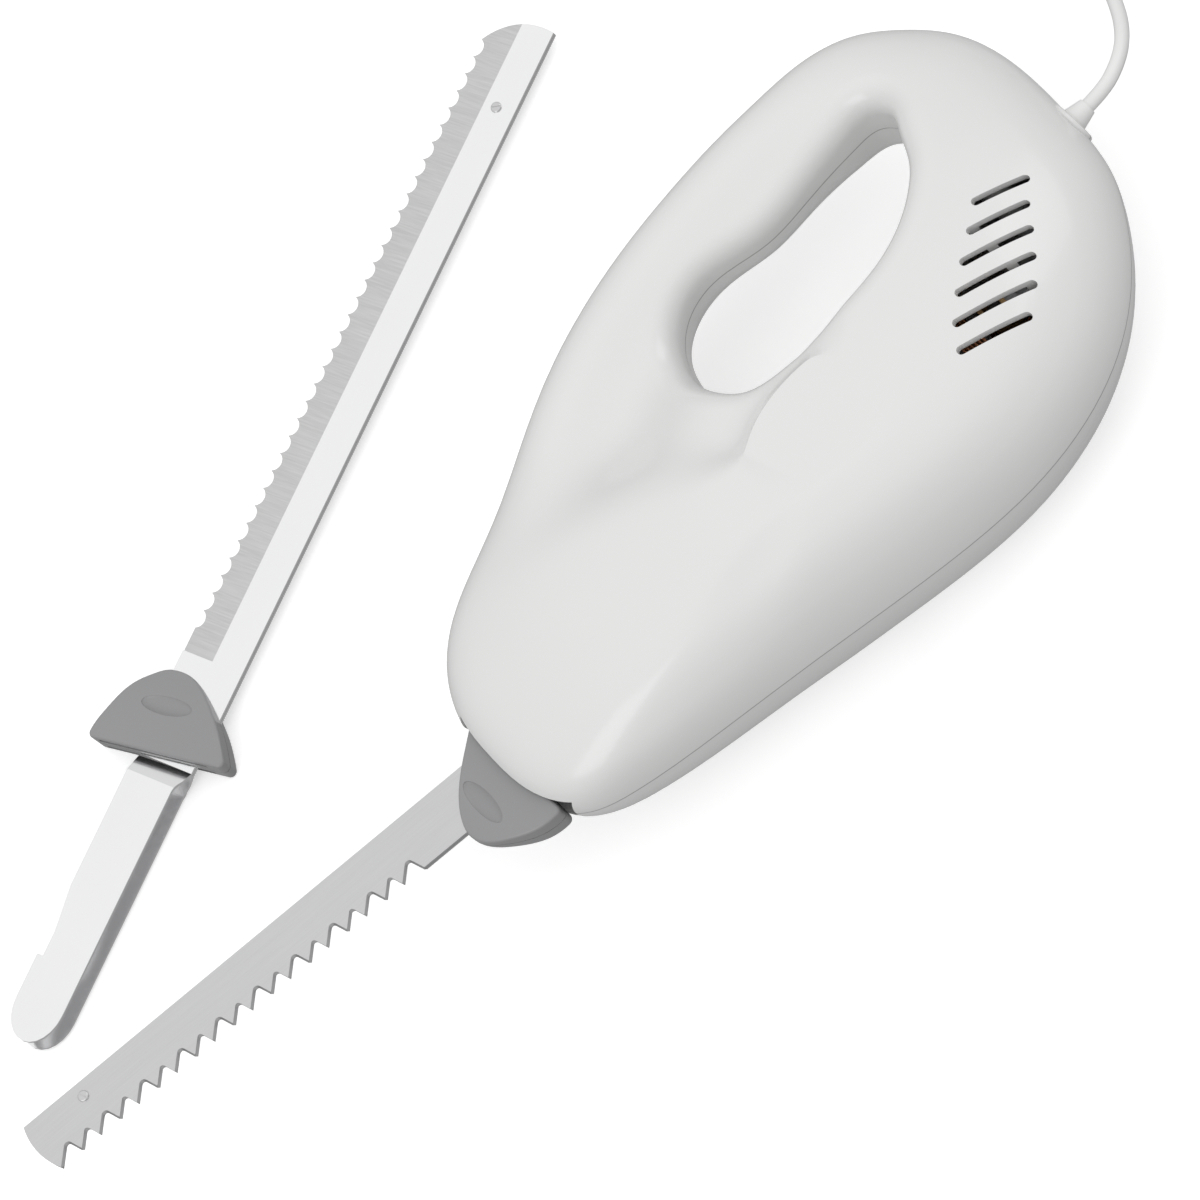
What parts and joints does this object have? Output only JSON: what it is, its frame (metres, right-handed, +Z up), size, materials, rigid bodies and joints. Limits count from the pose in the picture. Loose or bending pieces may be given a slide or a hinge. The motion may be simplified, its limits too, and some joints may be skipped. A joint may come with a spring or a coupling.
{
  "type": "electric carving knife",
  "caption": "Electric carving knife with a looped grip, reciprocating saw-edged blades fitted and a scalloped pair beside it, on a mains cord.",
  "frame": {"origin": "under the middle of the knife and the spare blades, on the surface they lie on, cord left out", "axes": "+X along the drive axis from the blades to the cord end, +Y from the motor side to the grip, +Z up, which is the left side of the knife"},
  "size_m": [0.5321, 0.2533, 0.0724],
  "materials": {
    "white_plastic": "glossy moulded white",
    "grey_plastic": "satin moulded grey",
    "satin_steel": "satin stainless",
    "bright_steel": "polished flats, ground edge",
    "cord_white": "smooth soft plastic",
    "plug_white": "smooth moulded",
    "tie_black": "matte strip",
    "pin_metal": "nickel plated",
    "dark_steel": "plain steel",
    "gear_plastic": "natural moulded",
    "bearing_bronze": "sintered bronze",
    "copper": "copper",
    "carbon": "pressed carbon",
    "black_plastic": "moulded",
    "lead_grey": "insulated lead"
  },
  "bodies": {
    "housing": {"left_housing": "white_plastic", "right_housing": "white_plastic", "housing_screws": "dark_steel", "cord_bushing": "cord_white", "mains_cord": "cord_white", "cord_coil": "cord_white", "cord_tail": "cord_white", "cord_tie": "tie_black", "plug_body": "plug_white", "plug_pins": "pin_metal", "gear_frame": "gear_plastic", "gear_axle": "dark_steel", "front_bush": "bearing_bronze", "stator_core": "dark_steel", "field_coils": "copper", "rear_bracket": "dark_steel", "rear_bush": "bearing_bronze", "brush_holders": "bearing_bronze", "carbon_brushes": "carbon", "micro_switch": "black_plastic", "power_spring": "dark_steel", "release_spring": "dark_steel", "terminal_block": "black_plastic", "inner_lead": "lead_grey", "switch_lead": "lead_grey"},
    "rotor": {"motor_shaft": "dark_steel", "worm": "dark_steel", "armature_core": "dark_steel", "armature_windings": "copper", "commutator": "copper", "cooling_fan": "gear_plastic"},
    "wheel": {"worm_wheel": "gear_plastic", "left_eccentric": "gear_plastic", "right_eccentric": "gear_plastic"},
    "left_drive": {"left_slider": "gear_plastic", "left_latch": "dark_steel"},
    "right_drive": {"right_slider": "gear_plastic", "right_latch": "dark_steel"},
    "left_cutter": {"left_blade": "satin_steel", "left_guard": "grey_plastic", "blade_rivet": "satin_steel"},
    "right_cutter": {"right_blade": "satin_steel", "right_guard": "grey_plastic"},
    "power_press_body": {"power_button": "grey_plastic"},
    "release_press_body": {"release_button": "grey_plastic"},
    "spare_left": {"spare_left_blade": "bright_steel", "spare_left_guard": "grey_plastic", "spare_blade_rivet": "satin_steel"},
    "spare_right": {"spare_right_blade": "bright_steel", "spare_right_guard": "grey_plastic"}
  },
  "joints": [
    {"name": "rotor_spin", "type": "hinge", "parent": "housing", "child": "rotor", "pos_m": [0.10946, -0.08947, 0.036], "axis": [1, 0, 0], "range_deg": [-1080, 1080]},
    {"name": "wheel_turn", "type": "hinge", "parent": "housing", "child": "wheel", "pos_m": [0.06746, -0.06896, 0.036], "axis": [0, 0, 1], "range_deg": [-90, 90]},
    {"name": "left_stroke", "type": "slide", "parent": "housing", "child": "left_drive", "axis": [1, 0, 0], "range_m": [-0.004, 0.004]},
    {"name": "right_stroke", "type": "slide", "parent": "housing", "child": "right_drive", "axis": [1, 0, 0], "range_m": [-0.004, 0.004]},
    {"name": "left_blade_pull", "type": "slide", "parent": "left_drive", "child": "left_cutter", "axis": [-1, 0, 0], "range_m": [0, 0.115], "deforming": ["left_latch"]},
    {"name": "right_blade_pull", "type": "slide", "parent": "right_drive", "child": "right_cutter", "axis": [-1, 0, 0], "range_m": [0, 0.115], "deforming": ["right_latch"]},
    {"name": "power_press", "type": "slide", "parent": "housing", "child": "power_press_body", "axis": [0, -1, 0], "range_m": [0, 0.003], "stiffness_N_per_m": 200, "springref_m": -0.004, "deforming": ["power_spring"]},
    {"name": "release_press", "type": "slide", "parent": "housing", "child": "release_press_body", "axis": [0, -1, 0], "range_m": [0, 0.003], "stiffness_N_per_m": 200, "springref_m": -0.004, "deforming": ["release_spring", "left_latch", "right_latch"]},
    {"name": "spare_lift", "type": "slide", "parent": "housing", "child": "spare_left", "axis": [0, 0, 1], "range_m": [0, 0.15]},
    {"name": "spare_shift", "type": "slide", "parent": "spare_left", "child": "spare_right", "axis": [-0.9342, -0.3567, 0], "range_m": [-0.008, 0.008]}
  ],
  "couplings": [
    {"joint": "wheel_turn", "follows": "rotor_spin", "ratio": -0.083333},
    {"joint": "left_stroke", "follows": "rotor_spin", "m_per_rad": 0.00021221},
    {"joint": "right_stroke", "follows": "rotor_spin", "m_per_rad": -0.00021221},
    {"joint": "right_blade_pull", "follows": "left_blade_pull", "ratio": 1}
  ]
}
